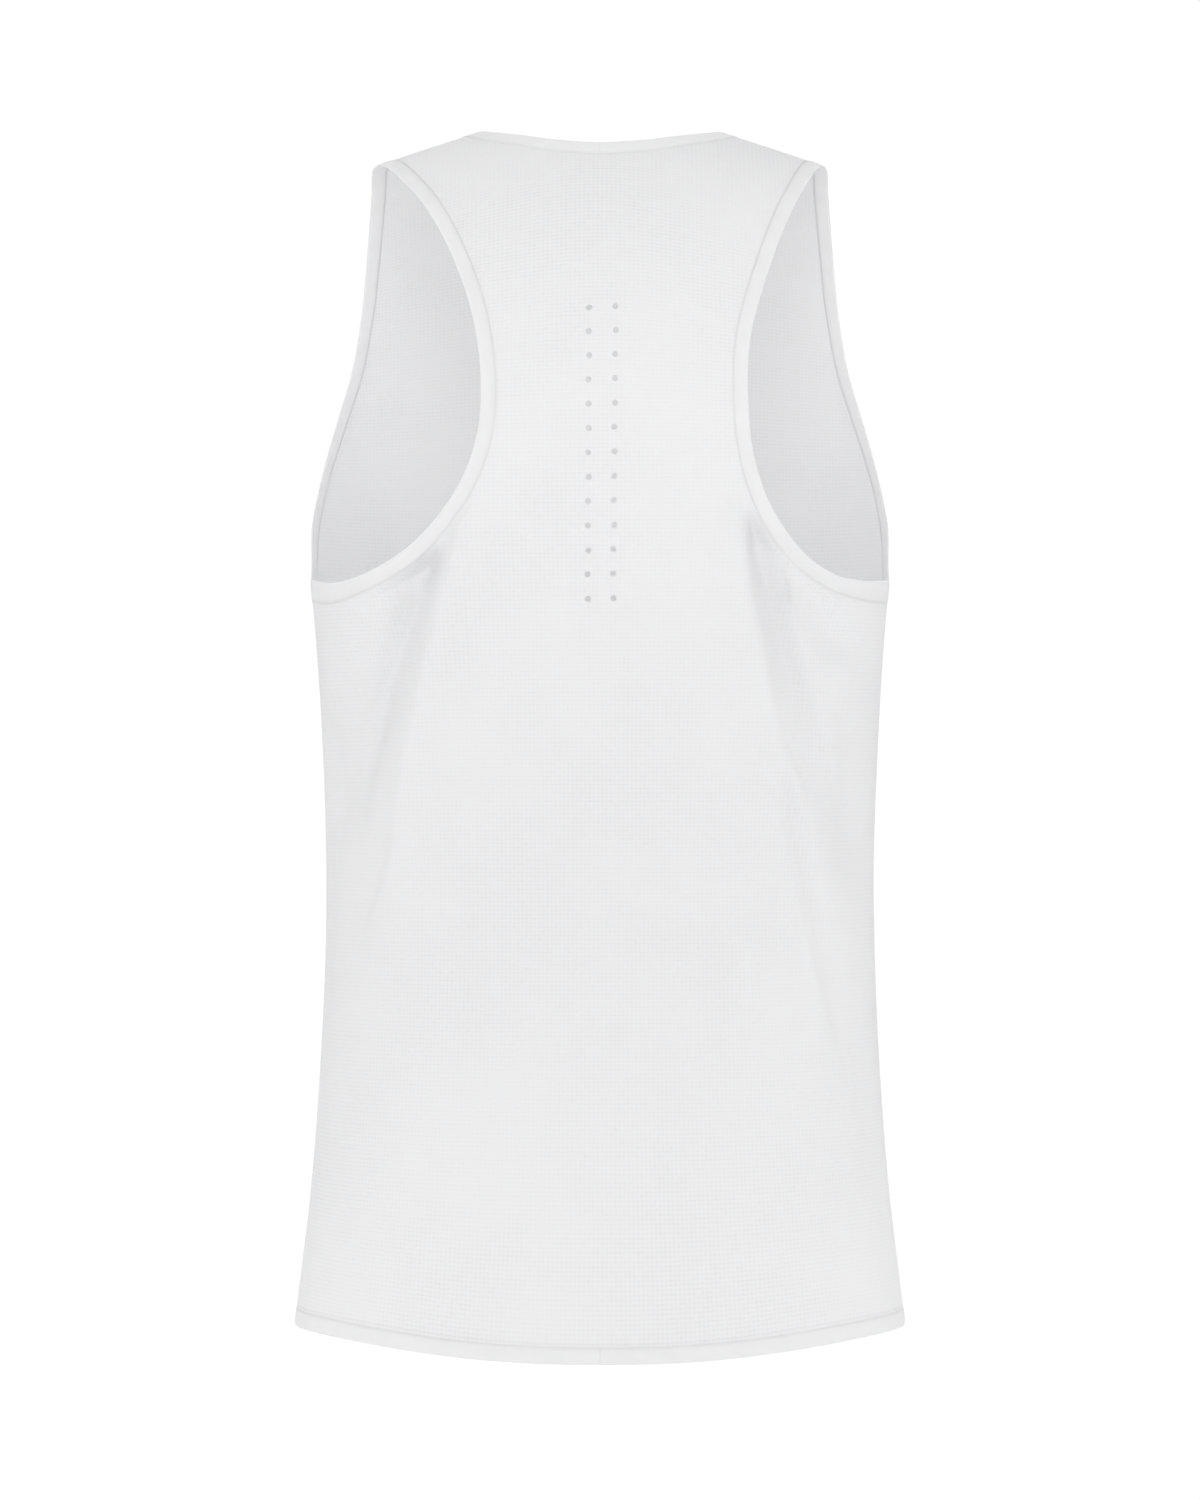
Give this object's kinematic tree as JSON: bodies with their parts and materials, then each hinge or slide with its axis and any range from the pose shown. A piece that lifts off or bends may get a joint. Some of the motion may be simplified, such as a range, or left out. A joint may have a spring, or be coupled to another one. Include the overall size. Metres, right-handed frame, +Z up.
{
  "type": "running singlet",
  "caption": "Sleeveless racer-back running singlet, filled out and hollow, with bands at the neck, armholes and hem.",
  "frame": {"origin": "midway between the tops of the two shoulder straps, where the wearer's shoulders hold the garment up", "axes": "+Z up, -Y towards the garment's front, +Y towards its racer back, +X towards the wearer's left"},
  "size_m": [0.3536, 0.2479, 0.7021],
  "materials": {
    "mesh_knit": "matt white polyester micro-mesh knit with a fine square grid",
    "neck_binding": "matt white folded knit binding with a stitched seam",
    "smooth_band": "smooth white bonded double knit with a slight sheen"
  },
  "bodies": {
    "root": {"back_panel": "mesh_knit", "front_panel": "mesh_knit", "neck_band": "neck_binding", "armhole_band_left": "smooth_band", "armhole_band_right": "smooth_band", "hem_band": "smooth_band"}
  },
  "joints": []
}
